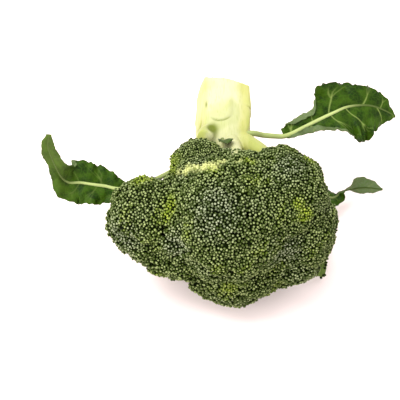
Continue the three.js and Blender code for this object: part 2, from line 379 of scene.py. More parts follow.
def waxy_bud():
    """Closed flower buds: thin matt green sepals, painted dark at the foot as shade from the
    neighbouring buds, and pale tips that are partly a waxy bloom and partly a painted highlight.
    """
    look = settings()
    material, surface, kept = new_material(
        "waxy_flower_bud", ("tip", "tone", "fresh", "bloom", "cream"),
        Roughness=0.5, IOR=1.42, Specular_IOR_Level=0.08,
    )
    # The share up each bud paints its foot dark, as the shade of its neighbours, and its tip pale,
    # partly waxy bloom and partly a painted highlight.
    ramps = {}
    for name, source, low, high, least in (
        ("side", "tip", 0.0, 0.62, 0.0),
        ("fresh", "tip", 0.1, 0.8, 0.0),
        ("pale", "tip", 0.62, 1.0, 0.0),
        ("strength", "tone", 0.0, 1.0, 0.1),
    ):
        inputs = {"Value": kept[source], "From Min": low, "From Max": high, "To Min": least}
        ramps[name] = add_node(material, "MapRange", inputs, "Result", **EASED)
    amount = add_node(
        material, "Math", {0: ramps["pale"], 1: ramps["strength"]}, operation="MULTIPLY"
    )
    names = ("base", "side", "fresh", "tip", "bloom", "fresh_tip", "cream")
    tones = {name: linear(getattr(look, "bud_" + name)) for name in names}
    # Each line makes a tone by mixing two others, by a share.
    for made, share, first, second in (
        ("lower part", ramps["side"], "base", "side"),
        ("fresh lower part", ramps["fresh"], "base", "fresh"),
        ("sepals", kept["fresh"], "lower part", "fresh lower part"),
        ("bloom and highlight tip", kept["bloom"], "tip", "bloom"),
        ("pale tip", kept["fresh"], "bloom and highlight tip", "fresh_tip"),
        ("bud", amount, "sepals", "pale tip"),
        ("skin", kept["cream"], "bud", "cream"),
    ):
        inputs = {0: share, 6: tones[first], 7: tones[second]}
        tones[made] = add_node(material, "Mix", inputs, 2, **IN_COLOUR)
    connect(material, tones["skin"], surface, "Base Color")
    return material


def stem_skin():
    """Fine flower stems: smooth pale green skin, painted near-black green as shade where they
    spread under the buds.
    """
    look = settings()
    material, surface, kept = new_material(
        "flower_stem_skin", ("young", "deep"), Roughness=0.6, IOR=1.4, Specular_IOR_Level=0.05
    )
    inputs = {"Value": kept["young"], "From Min": 0.1, "From Max": 0.9}
    greener = add_node(material, "MapRange", inputs, "Result", **EASED)
    skin = linear(look.stem_pale)
    # The rows under the buds take the dark gap colour, painted shade between the buds.
    for share, over in ((greener, look.stem_green), (kept["deep"], look.bud_gap_shade)):
        skin = add_node(material, "Mix", {0: share, 6: skin, 7: linear(over)}, 2, **IN_COLOUR)
    connect(material, skin, surface, "Base Color")
    return material


def stalk_skin():
    """The stalk's grown skin: pale, smooth and waxy, with faint fibres that run along it, and
    painted shade on its flanks and in a hollow.
    """
    look = settings()
    material, surface, kept = new_material(
        "stalk_skin", ("yellow", "green", "scar", "cut"), Roughness=0.45, IOR=1.42,
        Specular_IOR_Level=0.3, Subsurface_Weight=0.1, Subsurface_Radius=(0.004, 0.004, 0.0015),
        Subsurface_Scale=1.0,
    )
    place = add_node(material, "TexCoord", None, "Object")
    scale = (1 / FIBRE_APART, 1 / FIBRE_LENGTH, 1 / FIBRE_APART)
    stretched = add_node(material, "Mapping", {"Vector": place, "Scale": scale})
    inputs = {"Vector": stretched, "Scale": 1.0, "Detail": 3.0}
    fibres = add_node(material, "TexNoise", inputs, "Fac")
    inputs = {"Value": fibres, "From Min": 0.5, "From Max": 0.75, "To Max": 0.35}
    streaks = add_node(material, "MapRange", inputs, "Result", **EASED)
    skin = linear(look.stalk_cream)
    for share, over in (
        (kept["yellow"], look.stalk_yellow_and_shade),
        (kept["green"], look.stalk_green),
        (streaks, look.stalk_green),
        (kept["scar"], look.stalk_scar_and_shade),
        (kept["cut"], look.stalk_cut),
    ):
        skin = add_node(material, "Mix", {0: share, 6: skin, 7: linear(over)}, 2, **IN_COLOUR)
    connect(material, skin, surface, "Base Color")
    bump = add_node(material, "Bump", {"Height": fibres, "Strength": 0.25, "Distance": 0.0003})
    connect(material, bump, surface, "Normal")
    return material


def leaf_blade():
    """A waxy cabbage leaf: dark green above and grey green below, with a net of pale veins."""
    look = settings()
    material, surface, kept = new_material(
        "waxy_leaf_blade", ("along", "across", "below", "vein", "rib"), Roughness=0.5, IOR=1.45,
        Specular_IOR_Level=0.08, Subsurface_Weight=0.05, Subsurface_Radius=(0.001, 0.002, 0.0005),
        Subsurface_Scale=1.0,
    )
    flat = add_node(material, "CombineXYZ", {"X": kept["along"], "Y": kept["across"]})
    inputs = {"Vector": flat, "Scale": VEIN_CELLS_PER_MM, "Randomness": 0.9}
    net = add_node(material, "TexVoronoi", inputs, "Distance", feature="DISTANCE_TO_EDGE")
    inputs = {"Value": net, "From Min": 0.0, "From Max": 0.09, "To Min": 0.32, "To Max": 0.0}
    fine = add_node(material, "MapRange", inputs, "Result", **EASED)
    noise = add_node(material, "TexNoise", {"Vector": flat, "Scale": CLOUDS_PER_MM}, "Fac")
    inputs = {"Value": noise, "From Min": 0.35, "From Max": 0.65}
    clouds = add_node(material, "MapRange", inputs, "Result", **EASED)
    skin = linear(look.leaf_dark)
    for share, over in (
        (clouds, look.leaf_mid),
        (kept["below"], look.leaf_below),
        (fine, look.leaf_net),
        (kept["vein"], look.leaf_vein),
        (kept["rib"], look.leaf_rib),
    ):
        skin = add_node(material, "Mix", {0: share, 6: skin, 7: linear(over)}, 2, **IN_COLOUR)
    connect(material, skin, surface, "Base Color")
    inputs = {"Height": fine, "Strength": 0.5, "Distance": 0.0004}
    connect(material, add_node(material, "Bump", inputs, invert=True), surface, "Normal")
    return material


def matt_laminate():
    """A plain table top: matt white laminate, faintly warm, so that shadows fall soft on it."""
    material, _, _ = new_material(
        "matt_white_laminate", (), Base_Color=linear("#fbeae8"), Roughness=0.7
    )
    return material


# ---------------------------------------------------------------- florets
def heading(name):
    """Which way a floret's branch leads."""
    at, _, leaves, _ = FLORETS[name]
    return unit(np.array(at, float) - [0, 0, leaves])


def branch_end(name):
    """Where a branch ends, inside its floret."""
    at, radius, _, _ = FLORETS[name]
    return np.array(at, float) - heading(name) * radius * 0.5


def depth_and_way(points):
    """How far outside the whole head points are, in mm, and which way leads out of it.

    The clusters' spheres are blended, so that they meet in soft valleys.
    """
    off = points[:, None] - CENTRES[None]
    away = np.linalg.norm(off, axis=2)
    share = np.exp(-np.clip(away - RADII, -30, 60) / VALLEY)
    depth = -VALLEY * np.log(share.sum(1))
    way = unit((off / away[:, :, None] * share[:, :, None]).sum(1))
    for at, reach, push in NOTCHES:
        depth += push * np.exp(-np.sum((points - np.array(at, float)) ** 2, 1) / (2 * reach**2))
    return depth, way, (away - RADII).argmin(1)


def sunflower(count, turn=0.0):
    """Evenly spread directions, in a spiral from pole to pole."""
    k = np.arange(count) + 0.5
    polar, around = np.arccos(1 - 2 * k / count), k * GOLDEN_ANGLE + turn
    flat = np.sin(polar)
    return np.stack([flat * np.cos(around), flat * np.sin(around), np.cos(polar)], -1)


def sprig_places(index, turn, rng):
    """Where the sprigs of a floret sit, each a small dome of buds, and which way each faces."""
    spacing = settings().sprig_spacing * MM
    centre, radius = CENTRES[index], RADII[index]
    ways = sunflower(int(4 * math.pi * radius**2 / (HEX_CELL * spacing**2)), index + turn)
    ways = unit(ways + rng.normal(size=ways.shape) * 0.17 * spacing / radius)
    far = np.full(len(ways), radius)
    for _ in range(6):
        depth, out, _ = depth_and_way(centre + ways * far[:, None])
        far -= depth / np.maximum(np.sum(ways * out, 1), 0.35)
    points = centre + ways * far[:, None]
    depth, out, owner = depth_and_way(points)
    # Sprigs stand in larger domes, with a shallow crease between one dome and the next.
    dome_ways = sunflower(int(4 * math.pi * radius**2 / DOME_SPACING**2), 2 + index)
    dome_ways = unit(dome_ways + rng.normal(size=dome_ways.shape) * 0.08)
    across = points[:, None] - (centre + radius * dome_ways)[None]
    apart = np.linalg.norm(across, axis=2)
    nearest = apart.argmin(1)
    from_dome = across[np.arange(len(points)), nearest]
    lift = 1.3 - 2.4 * (apart.min(1) / (0.6 * DOME_SPACING)) ** 2
    lift += 1.1 * wander(points, 11, 30) + rng.normal(size=len(points)) * 0.7
    open_side = np.sum(out * unit(points - HEART), 1)
    good = (open_side > 0.03) & (np.abs(depth) < 1.0)
    points = points + out * (np.clip(lift, -2.6, 2.2) - BUD_DEPTH)[:, None]
    facing = unit(
        out + 0.25 * unit(points - HEART) + 0.02 * from_dome + rng.normal(size=ways.shape) * 0.09
    )
    return points[good], facing[good], owner[good] == index


def all_sprigs():
    """The sprigs of every floret: its own first, and then any that close holes between florets."""
    spacing = settings().sprig_spacing * MM
    found = {name: [] for name in FLORETS}
    taken = np.full((1, 3), 1e6)
    for turn, gap in enumerate(SPRIG_GAPS):
        own_only = turn == 0
        for index, name in enumerate(FLORETS):
            rng = np.random.default_rng(settings().seed + 31 * index + 997 * turn)
            points, facing, own = sprig_places(index, 0.4 * turn, rng)
            fits = []
            for i in np.flatnonzero(own | (not own_only)):
                others = taken if own_only else np.concatenate([taken, points[fits]])
                if np.linalg.norm(others - points[i], axis=1).min() > gap * spacing:
                    fits.append(i)
            taken = np.concatenate([taken, points[fits]])
            found[name].append((points[fits], facing[fits]))
    return {
        name: tuple(np.concatenate(part) for part in zip(*rounds)) for name, rounds in found.items()
    }


def frames_for(ways, rng):
    """Two directions across each of the given ones, at a random turn."""
    spin = rng.normal(size=ways.shape)
    side = unit(spin - ways * np.sum(spin * ways, 1)[:, None])
    return side, np.cross(ways, side)


def dome(r, reach, height):
    """Height of a sprig's dome of buds at a distance from its middle."""
    return height * np.sqrt(np.clip(1 - (r / (1.12 * reach)) ** 2, 0.02, 1))


def sprig_buds(points, facing, pitch, rng):
    """Buds in a sunflower spiral over each sprig: place, way, how near the rim, and spacing."""
    reach = settings().sprig_spacing * MM * 0.62
    side, across = frames_for(facing, rng)
    found = []
    for i in range(len(points)):
        grown = rng.uniform(0.92, 1.08)
        count = int(1.2 * math.pi * (reach * grown) ** 2 / (HEX_CELL * pitch**2))
        k = np.arange(count) + 0.5
        r = reach * grown * np.sqrt(k / count)
        turn = k * GOLDEN_ANGLE + rng.uniform(0, math.tau)
        height = rng.uniform(3.0, 5.0)
        up = dome(r, reach, height)
        slope = (up - dome(r + 0.2, reach, height)) / 0.2
        out = side[i] * np.cos(turn)[:, None] + across[i] * np.sin(turn)[:, None]
        place = points[i] + out * r[:, None] + facing[i] * (up - height * 0.8)[:, None]
        way = unit(facing[i] + out * (0.75 * slope)[:, None])
        found.append(np.column_stack([place, way, r / reach, np.full(count, pitch)]))
    return np.concatenate(found)


def all_buds(sprigs):
    """The buds of every floret, without those that crowd their neighbours."""
    rng = np.random.default_rng(settings().seed)
    rows = []
    for index, (name, (points, facing)) in enumerate(sprigs.items()):
        pitch = settings().bud_spacing * MM * BUD_SIZES.get(name, 1.0)
        buds = sprig_buds(points, facing, pitch, rng)
        rows.append(np.column_stack([buds, np.full(len(buds), index)]))
    buds = np.concatenate(rows)
    buds = buds[depth_and_way(buds[:, :3])[0] > -BUD_DEEPEST - BUD_DEPTH]
    tree = KDTree(len(buds))
    for i, bud in enumerate(buds):
        tree.insert(bud[:3], i)
    tree.balance()
    order = np.argsort(buds[:, 6] + rng.uniform(0, 0.12, len(buds)))
    gone = rng.uniform(size=len(buds)) < BUDS_MISSING
    keep = []
    for i in order:
        if gone[i]:
            continue
        keep.append(i)
        for _, j, _ in tree.find_range(buds[i, :3], BUD_CROWDING * buds[i, 7]):
            gone[j] = True
    names = list(FLORETS)
    places = np.array([place for _, place in STRAY_BUDS])
    ways = unit(places - CENTRES.mean(0) + rng.normal(size=places.shape) * 20)
    owners = [names.index(name) for name, _ in STRAY_BUDS]
    size = np.full(len(places), settings().bud_spacing * MM)
    strays = np.column_stack([places, ways, 0.5 + 0 * size, size, owners])
    return np.concatenate([buds[keep], strays])


def bud_template(sides=8):
    """A closed bud one unit in radius, whose four sepals close over the tip.

    Returns its points, its faces and how far up the bud each point is, from 0 to 1.
    """
    turn = np.arange(sides) * math.tau / sides
    lobe = np.cos(4 * turn)
    rings = ((0.52, 0.0, 0.0), (1.0, 0.95, 0.03), (0.74, 1.75, 0.12))
    points, high = [[0, 0, -0.25]], [0.0]
    for radius, height, cleft in rings:
        r = radius * (1 + cleft * lobe)
        z = height + cleft * 0.9 * lobe
        points += np.stack([r * np.cos(turn), r * np.sin(turn), z], -1).tolist()
        high += [height / 2.1] * sides
    points.append([0, 0, 2.02])
    high.append(1.0)
    return np.array(points), ring_faces(len(rings), sides), np.array(high)


def near_patch(points, patches):
    """How far points are inside any of the patches, from 0 to 1."""
    total = np.zeros(len(points))
    for at, reach in patches:
        away = np.linalg.norm(points - np.array(at, float), axis=1)
        total = np.maximum(total, 1 - smooth(away, 0.4 * reach, 1.5 * reach))
    return total


def add_buds(shape, buds, rng):
    """Sets a bud at each place, leaning and sized a little differently from its neighbours."""
    template, faces, high = bud_template()
    count = len(buds)
    cream = near_patch(buds[:, :3], CREAM_PATCHES)
    size = buds[:, 7] / 2 * rng.uniform(0.84, 1.12, count) * (0.92 + 0.12 * buds[:, 6])
    size *= 1 + 0.1 * cream
    tall = rng.uniform(0.9, 1.25, count)
    way = unit(buds[:, 3:6] + rng.normal(size=(count, 3)) * 0.15)
    side, across = frames_for(way, rng)
    root = buds[:, :3] + way * (rng.uniform(-0.55, 0.55, count) - 1.3 * cream)[:, None]
    local = template[None] * size[:, None, None]
    local[:, :, 2] *= tall[:, None]
    points = (
        root[:, None]
        + side[:, None] * local[:, :, :1]
        + across[:, None] * local[:, :, 1:2]
        + way[:, None] * local[:, :, 2:]
    )
    step = np.arange(count)[:, None, None] * len(template)
    placed = [(f[None] + step).reshape(-1, f.shape[1]) for f in faces]
    patchy = wander(buds[:, :3], 5, 10)
    fresh = near_patch(buds[:, :3], FRESH_PATCHES) * rng.uniform(0.35, 1, count)
    fresh = np.maximum(fresh, 0.45 * smooth(patchy, 0.3, 1.3) * rng.uniform(0, 1, count))
    faint = 0.4 * smooth(wander(buds[:, :3], 8, 16), 0, 1)
    bloom = np.maximum(near_patch(buds[:, :3], BLOOM_PATCHES), faint)
    each = len(template)
    shape.add(
        points.reshape(-1, 3),
        placed,
        tip=np.tile(high, count),
        tone=np.repeat(rng.uniform(0, 1, count), each),
        fresh=np.repeat(np.clip(fresh, 0, 1), each),
        cream=np.repeat(cream * rng.uniform(0.6, 1, count), each),
        bloom=np.repeat(np.clip(bloom, 0, 1), each),
    )


# The stem of a sprig and the dome that it ends in: the distance from the middle as a share of the
# sprig's reach, the height in mm, how green the stem is and whether the row lies under the buds,
# where it is painted near-black as the shade between them.
SPRIG_ROWS = (
    (0.10, -9.0, 0.0, 0), (0.2, -8.0, 0.1, 0), (0.3, -6.2, 0.3, 0), (0.55, -4.2, 0.6, 0),
    (0.85, -2.6, 0.85, 0), (1.06, -1.6, 1.0, 1), (1.0, -0.9, 1.0, 1), (0.75, 0.1, 1.0, 1),
    (0.4, 0.7, 1.0, 1),
)
SPRIG_SIDES = 14


def add_sprig_stems(shape, points, facing, start, rng):
    """The dome under each sprig's buds, the stem that spreads into it and the forks below."""
    reach = settings().sprig_spacing * MM * 0.6
    side, across = frames_for(facing, rng)
    turn = np.arange(SPRIG_SIDES) * math.tau / SPRIG_SIDES
    young = np.concatenate([[0], *[np.full(SPRIG_SIDES, row[2]) for row in SPRIG_ROWS], [1]])
    deep = np.concatenate([[0], *[np.full(SPRIG_SIDES, row[3]) for row in SPRIG_ROWS], [1]])
    cream = near_patch(points, CREAM_PATCHES)
    for i in range(len(points)):
        rows = []
        for r, z, _, under_buds in SPRIG_ROWS:
            ribs = np.ones(SPRIG_SIDES) if under_buds else 1 + 0.12 * np.cos(7 * turn)
            out = side[i] * (np.cos(turn) * ribs)[:, None]
            out += across[i] * (np.sin(turn) * ribs)[:, None]
            rows.append(points[i] + out * r * reach + facing[i] * z)
        low = points[i] - facing[i] * 9.3
        high = points[i] + facing[i] * 0.8
        body = np.concatenate([[low], *rows, [high]])
        faces = ring_faces(len(SPRIG_ROWS), SPRIG_SIDES)
        shape.add(body, faces, young=young * (1 - cream[i]), deep=deep * (1 - cream[i]))
    # Sprigs in one neighbourhood share a fork of the branch.
    roots = points - facing * 8.5
    forks = min(len(points), max(3, len(points) // 7))
    middle = roots[rng.permutation(len(roots))[:forks]]
    for _ in range(6):
        owner = np.linalg.norm(roots[:, None] - middle[None], axis=2).argmin(1)
        for f in np.unique(owner):
            middle[f] = roots[owner == f].mean(0)
    for f in range(forks):
        mine = np.flatnonzero(owner == f)
        if not len(mine):
            continue
        toward = facing[mine].mean(0)
        fork = start + (middle[f] - start) * 0.62
        bend = start + (fork - start) * 0.5 + unit(fork - HEART) * 1.5
        thick = 1.1 * math.sqrt(len(mine)) + 0.3
        line = bezier(start, bend, fork, 6)
        add_tube(shape, line, np.linspace(thick * 1.15, thick, 6), 9, 0.05, young=0.15)
        for i in mine:
            reach_out = np.linalg.norm(roots[i] - fork)
            bend = fork + unit(toward + facing[i]) * reach_out * 0.45
            line = bezier(fork, bend, roots[i], 7)
            radii = np.linspace(0.62 * thick, 0.95, 7) * np.linspace(1.05, 1.0, 7)
            add_tube(shape, line, radii, 7, young=np.linspace(0.2, 0.4, 7))


def make_floret(name, index, sprigs, buds, bud_skin, stem):
    """The two pieces of a floret: its buds, and the fine stems that carry them."""
    rng = np.random.default_rng(settings().seed + 31 * index + 5)
    bud_shape, stem_shape = Shape(), Shape()
    add_buds(bud_shape, buds[buds[:, 8] == index], rng)
    points, facing = sprigs[name]
    add_sprig_stems(stem_shape, points, facing, branch_end(name), rng)
    make_piece(f"buds_{name}", bud_shape, bud_skin, "buds", f"floret_{name}")
    make_piece(f"stems_{name}", stem_shape, stem, "stalk_flesh")


# ---------------------------------------------------------------- stalk and branches
# Short stems that show beside the stalk: their points, and their radius at each end.
SHORT_STEMS = (
    (((3, 2, 54), (6, 17, 74), (8, 27, 90), (9, 35, 106)), (8.5, 5.0)),
    (((8, 0, 48), (18, 10, 66), (27, 19, 82), (36, 26, 100)), (9.0, 6.0)),
    (((-5, 2, 44), (-10, 12, 54), (-13, 18, 62), (-14, 21, 68)), (9.0, 6.0)),
    (((-12, 4, 60), (-19, 14, 74), (-26, 22, 88), (-32, 27, 98)), (6.0, 3.0)),
    (((-20, 8, 78), (-30, 14, 95), (-40, 15.5, 110), (-47, 19, 112), (-54, 22.5, 112.5)),
     (3.5, 1.4)),
)

# Leaf scars: the angle round the stalk, height, width and length of each.
LEAF_SCARS = (
    (-97, 36, 10, 24), (-20, 22, 9, 20), (-168, 34, 9, 22), (60, 24, 10, 22), (132, 20, 9, 20),
)


def branch_line(name, steps=14):
    """The middle of a branch, from inside the stalk to inside its floret."""
    start = np.array([0.0, 0.0, FLORETS[name][2]])
    end = branch_end(name)
    reach = np.linalg.norm(end - start)
    bend = start + heading(name) * BRANCH_BEND * reach + [0, 0, BRANCH_RISE * reach]
    return bezier(start, bend, end + heading(name) * 3, steps)


def rough_stems():
    """The stalk and its branches as overlapping closed tubes, before they are grown together."""
    shape = Shape()
    sides, rows = 120, 60
    around = np.arange(sides) * math.tau / sides
    rings = []
    for height in np.linspace(0, STALK_LENGTH, rows):
        ring = stalk_point(np.full(sides, height), around, 0.15 + 0.6 * smooth(height, 30, 75))
        rings.append(ring[::-1])
    low, high = rings[0].mean(0), rings[-1].mean(0)
    shape.add(np.concatenate([[low], *rings, [high]]), ring_faces(rows, sides))
    for name, (_, _, _, thick) in FLORETS.items():
        line = branch_line(name)
        t = np.linspace(0, 1, len(line))
        radii = thick * (1.25 - 0.35 * t + 0.5 * np.exp(-t * 5))
        add_tube(shape, line, radii, 20)
    for line, (first, last) in SHORT_STEMS:
        points, _ = spline(line, 16)
        add_tube(shape, points, np.linspace(first, last, 16), 18)
    return shape


def grown_together(shape, voxel):
    """One skin round all the tubes of a shape, smoothed where they meet.

    Returns its points in mm, which way the skin faces at each of them, and its faces.
    """
    mesh = make_mesh("rough", np.concatenate(shape.points), shape.faces)
    rough = bpy.data.objects.new("rough", mesh)
    bpy.context.scene.collection.objects.link(rough)
    remesh = rough.modifiers.new("skin", "REMESH")
    remesh.mode = "VOXEL"
    remesh.voxel_size = voxel
    relax = rough.modifiers.new("relax", "SMOOTH")
    relax.factor = 0.5
    relax.iterations = 3
    now = bpy.context.evaluated_depsgraph_get()
    done = bpy.data.meshes.new_from_object(rough.evaluated_get(now))
    bpy.data.objects.remove(rough)
    points, normals = np.empty((2, len(done.vertices) * 3), np.float32)
    done.vertices.foreach_get("co", points)
    done.vertices.foreach_get("normal", normals)
    faces = [
        np.array([p.vertices[:] for p in done.polygons if len(p.vertices) == n]).reshape(-1, n)
        for n in (4, 3)
    ]
    bpy.data.meshes.remove(done)
    return points.reshape(-1, 3).astype(float), normals.reshape(-1, 3).astype(float), faces


def make_stalk(skin):
    """The stalk and its branches as one piece, with the marks that a grower's knife left on it, and
    painted shade on its flanks and in a hollow.
    """
    points, normals, faces = grown_together(rough_stems(), STALK_VOXEL)
    x, y, z = points.T
    around = np.arctan2(-y, x)
    radius = np.hypot(x, y)
    on_stalk = (1 - smooth(radius, 24, 30)) * (1 - smooth(z, 60, 76))
    push = 0.2 * wander(points * [1, 1, 0.3], 3, 9) + 0.1 * wander(points * [1, 1, 0.12], 4, 3)
    cut = (1 - smooth(z - CUT_SLOPE * x, -0.5, 1.2)) * (normals[:, 2] < -0.5)
    scar, green = np.zeros((2, len(points)))
    # A scar of a cut-off leaf is a raised cushion with a U-shaped edge at its upper end.
    for turn, height, width, long in LEAF_SCARS:
        off = (around - math.radians(turn) + math.pi) % math.tau - math.pi
        side = off * 20 / width
        up = (z - height) / long
        ring = np.hypot(side, np.clip(up, 0, 2) * 2.2)
        inside = 1 - smooth(ring, 0.7, 1.1)
        edge = np.exp(-(((ring - 0.98) / 0.06) ** 2)) * smooth(up, 0.2, 0.42)
        push += on_stalk * (0.8 * inside * smooth(up, -0.8, 0.2) - 0.9 * edge)
        scar = np.maximum(scar, 0.8 * edge * on_stalk)
        green = np.maximum(green, 0.3 * inside * smooth(up, -0.5, 0.3) * on_stalk)
    # A short dark nick where a knife touched the skin.
    nick = np.exp(-(((x + 13.6) / 0.7) ** 2) - ((z - 28) / 3.2) ** 2) * (y > 0)
    push -= 1.0 * nick
    scar = np.maximum(scar, nick)
    # The hollow face of a leaf's base that broke off beside the side floret, pressed in and painted
    # dark olive: painted shade in the recess.
    hollow = np.exp(-(((x + 8.6) / 5.0) ** 2) - (((z - 56) / 8.5) ** 2)) * (y > 6)
    push -= 2.8 * hollow
    scar = np.maximum(scar, smooth(hollow, 0.2, 0.75))
    # The flanks are painted yellower and darker than the top: partly the skin's own yellow and
    # partly painted shade where they turn from the light above. The skin is greener between the
    # branches.
    yellow = smooth(np.abs(x + 1), 9, 17) * 0.9 + 0.3 * smooth(wander(points, 12, 12), 0, 1)
    mottled = 0.35 * smooth(wander(points * [1, 1, 0.4], 9, 9), 0.2, 1.0)
    green = np.maximum(green, 0.25 * smooth(z, 42, 58) + mottled)
    green = np.maximum(green, 0.6 * smooth(x, 15, 20) * smooth(z, 26, 44))
    points = points + normals * (push * (1 - cut))[:, None]
    rings = 0.5 + 0.5 * np.cos(radius * 1.9 + wander(points, 6, 9))
    shape = Shape()
    shape.add(
        points, faces, scar=scar, green=np.clip(green, 0, 1), yellow=np.clip(yellow, 0, 1),
        cut=cut * (0.6 + 0.4 * rings),
    )
    nodes = ["stalk"] + [f"branch_{name}" for name in FLORETS]
    make_piece("stalk_and_branches", shape, skin, "stalk_flesh", *nodes)


# ---------------------------------------------------------------- leaves
# Each leaf: points along its rib from the stalk to the tip, where the blade begins, which way its
# first side faces, the widths of its sides in mm at even steps along it, the radius of the stem,
# how steeply the sides rise from the rib, how far out each side folds over on itself at even steps
# (more than 1 where it doesn't), the height of its ruffles, how far its veins show and the gap
# between them in mm, how pale the blade is at even steps, how far the rib shows, and how many rows
# and columns it has. The first leaf's second side also leans back towards the stalk.
NO_FOLD = (1.3, 1.3)
LEAVES = {
    "right_upper": dict(
        rib=((6, 6, 55), (20, 11, 54), (30, 6, 51), (39, 7, 53), (45, 10, 56), (51, 15, 58),
             (59, 19, 56), (70, 23, 52), (82, 26, 47), (92, 27, 42), (103, 26, 39), (113, 23, 37),
             (123, 17, 36), (131, 11, 36)),
        blade_from=0.31,
        sides=((0, -14, 20), (0, -14, 18), (0, -15, 17)),
        widths=((1, 3, 4.4, 5.6, 7, 8.8, 10, 13, 18, 22, 26, 28, 28, 27, 24, 19, 13, 7, 1),
                (6, 8, 9, 9.5, 9.5, 9.5, 10, 15, 22, 23, 21, 18, 16, 15, 14, 12, 9, 5, 1)),
        stem=2.3, rise=0.15,
        folds=((1.1, 0.55, 0.5, 0.6, 0.75, 0.86, 0.93, 1.3, 1.3, 1.3, 1.3, 1.3),
               (1.1, 0.8, 0.66, 0.58, 0.8, 1.3, 1.3, 1.3, 1.3, 1.3, 1.3, 1.3)),
        ruffle=0.4, lean=0.3, veins=0.9, vein_gap=19.0, pale=(0, 0), rib_shows=1.0,
        grid=(230, 110),
    ),
    "left": dict(
        rib=((-12, 1, 58), (-33, -6, 72), (-56, -11, 83), (-76, -9, 92), (-89, -6, 92),
             (-98, -3, 93), (-107, -1, 93), (-114, 1, 95), (-118.5, 6, 96), (-121.5, 14, 95),
             (-125, 25, 92), (-127, 34, 89), (-125.5, 43, 86)),
        blade_from=0.42,
        sides=((0, 11, -16), (0, 11, -16), (3, 10, -14), (14, 0, 0), (14, 0, 0)),
        widths=((3, 8, 12, 15, 16, 17, 16, 12, 8, 6, 5, 2),
                (1, 7, 13, 15, 16, 16, 13, 7, 5, 6, 5, 2)),
        stem=2.2, rise=0.22, folds=(NO_FOLD, NO_FOLD), ruffle=0.22, veins=0.3, vein_gap=19.0,
        pale=(0, 0, 0, 0.1, 0.2, 0.2), rib_shows=0.95, grid=(180, 90),
    ),
    "right_lower": dict(
        rib=((12, -9, 52), (36, -22, 58), (59, -37, 62), (76, -49, 62), (85, -56, 60),
             (91, -59, 55), (94, -58, 52), (101, -57, 50), (113, -56, 49), (127, -56, 51)),
        blade_from=0.45,
        sides=((0, -11, 16), (0, -11, 16), (0, -2, 20), (0, 12, 10), (0, 14, -14), (0, 11, -16)),
        widths=((1, 6, 9, 9, 7, 8, 9, 9, 6, 1), (1, 6, 9, 9, 5, 3, 4, 5, 4, 1)),
        stem=2.1, rise=0.15, folds=(NO_FOLD, NO_FOLD), ruffle=0.2, veins=0.3, vein_gap=15.0,
        pale=(0, 0), rib_shows=0.5, grid=(150, 70),
    ),
    "small_right": dict(
        rib=((14, -10, 60), (46, -25, 68), (67, -43, 88), (75, -56, 107), (75, -64, 118),
             (74, -70, 128)),
        blade_from=0.6,
        sides=((-12, 8, -4), (-12, 8, 0), (-12, 6, 2)),
        widths=((1, 3, 3, 3, 3), (1, 3.5, 4.5, 4.5, 3.5)),
        stem=1.8, rise=0.3, folds=(NO_FOLD, NO_FOLD), ruffle=0.4, veins=0.25, vein_gap=7.0,
        pale=(0.5, 0.5), rib_shows=0.5, grid=(80, 40),
    ),
    "bract_stalk": dict(
        rib=((-1, 11, 60), (-1, 21, 71), (0, 31, 81), (2, 38, 90)),
        blade_from=0.3,
        sides=((-10, 0, 0), (-10, 0, 0)),
        widths=((1, 3, 4, 4, 1), (1, 5, 7, 6, 1)),
        stem=1.4, rise=0.35, folds=(NO_FOLD, NO_FOLD), ruffle=0.35, veins=0.1, vein_gap=8.0,
        pale=(0, 0), rib_shows=0.4, grid=(70, 40),
    ),
    "bract_left": dict(
        rib=((-24, -4, 84), (-36, -2, 91), (-45, 6, 98), (-49, 15, 104), (-50, 22, 112)),
        blade_from=0.45,
        sides=((-8, 0, -4), (-8, 0, -4)),
        widths=((1, 4, 5, 4, 1), (1, 4, 5, 4, 1)),
        stem=1.5, rise=0.2, folds=(NO_FOLD, NO_FOLD), ruffle=0.3, veins=0.3, vein_gap=8.0,
        pale=(0, 0), rib_shows=0.5, grid=(60, 30),
    ),
}
LEAF_THICKNESS = 0.55  # in mm
RIB_SAMPLES = 400
FOLDED = 2.85  # how far a folded side has turned over, in radians
# Waves in the edge: the length of each in mm, and its depth as a share of the side's width.
EDGE_WAVES = ((13.0, 0.03), (7.3, 0.022), (4.1, 0.02), (2.7, 0.012))


def read_along(values, u):
    """Smooth values read between the given ones, at shares of the way along."""
    values = np.asarray(values, float)
    place = np.clip(u, 0, 1) * (len(values) - 1)
    i = np.minimum(place.astype(int), len(values) - 2)
    t = smooth(place - i)
    if values.ndim == 2:
        t = t[:, None]
    return values[i] * (1 - t) + values[i + 1] * t


def leaf_veins(s, t, width, gap, turn):
    """How strongly the side veins show and how far the blade bulges between them."""
    share = np.clip(t / np.maximum(width, 1e-6), 0, 1)
    slant = 0.55 * t + 0.012 * t * t + 0.9 * np.sin(0.33 * t + s / gap + turn)
    lane = (s - slant) / gap + 0.22 * np.sin(s / gap * 2.3 + turn) + turn
    off = (lane - np.round(lane)) * gap * 0.8
    thin = 0.2 + 0.3 * (1 - share)
    main = np.exp(-((off / thin) ** 2)) * (1 - smooth(share, 0.4, 0.9))
    # Each side vein forks on its way out, some sooner than others.
    past = t - (0.38 + 0.14 * np.sin(5 * np.round(lane) + turn)) * width
    fork = np.abs(np.abs(off) - 0.42 * np.clip(past, 0, None)) / (0.16 + 0.25 * (1 - share))
    forked = np.exp(-(fork**2)) * smooth(past, 0.0, 1.5) * (1 - smooth(share, 0.7, 1.0))
    bulge = np.cos(math.pi * (lane - np.round(lane))) ** 2
    return np.clip(main * smooth(t, 0, 1.0) + 0.55 * forked, 0, 1), 1 - bulge


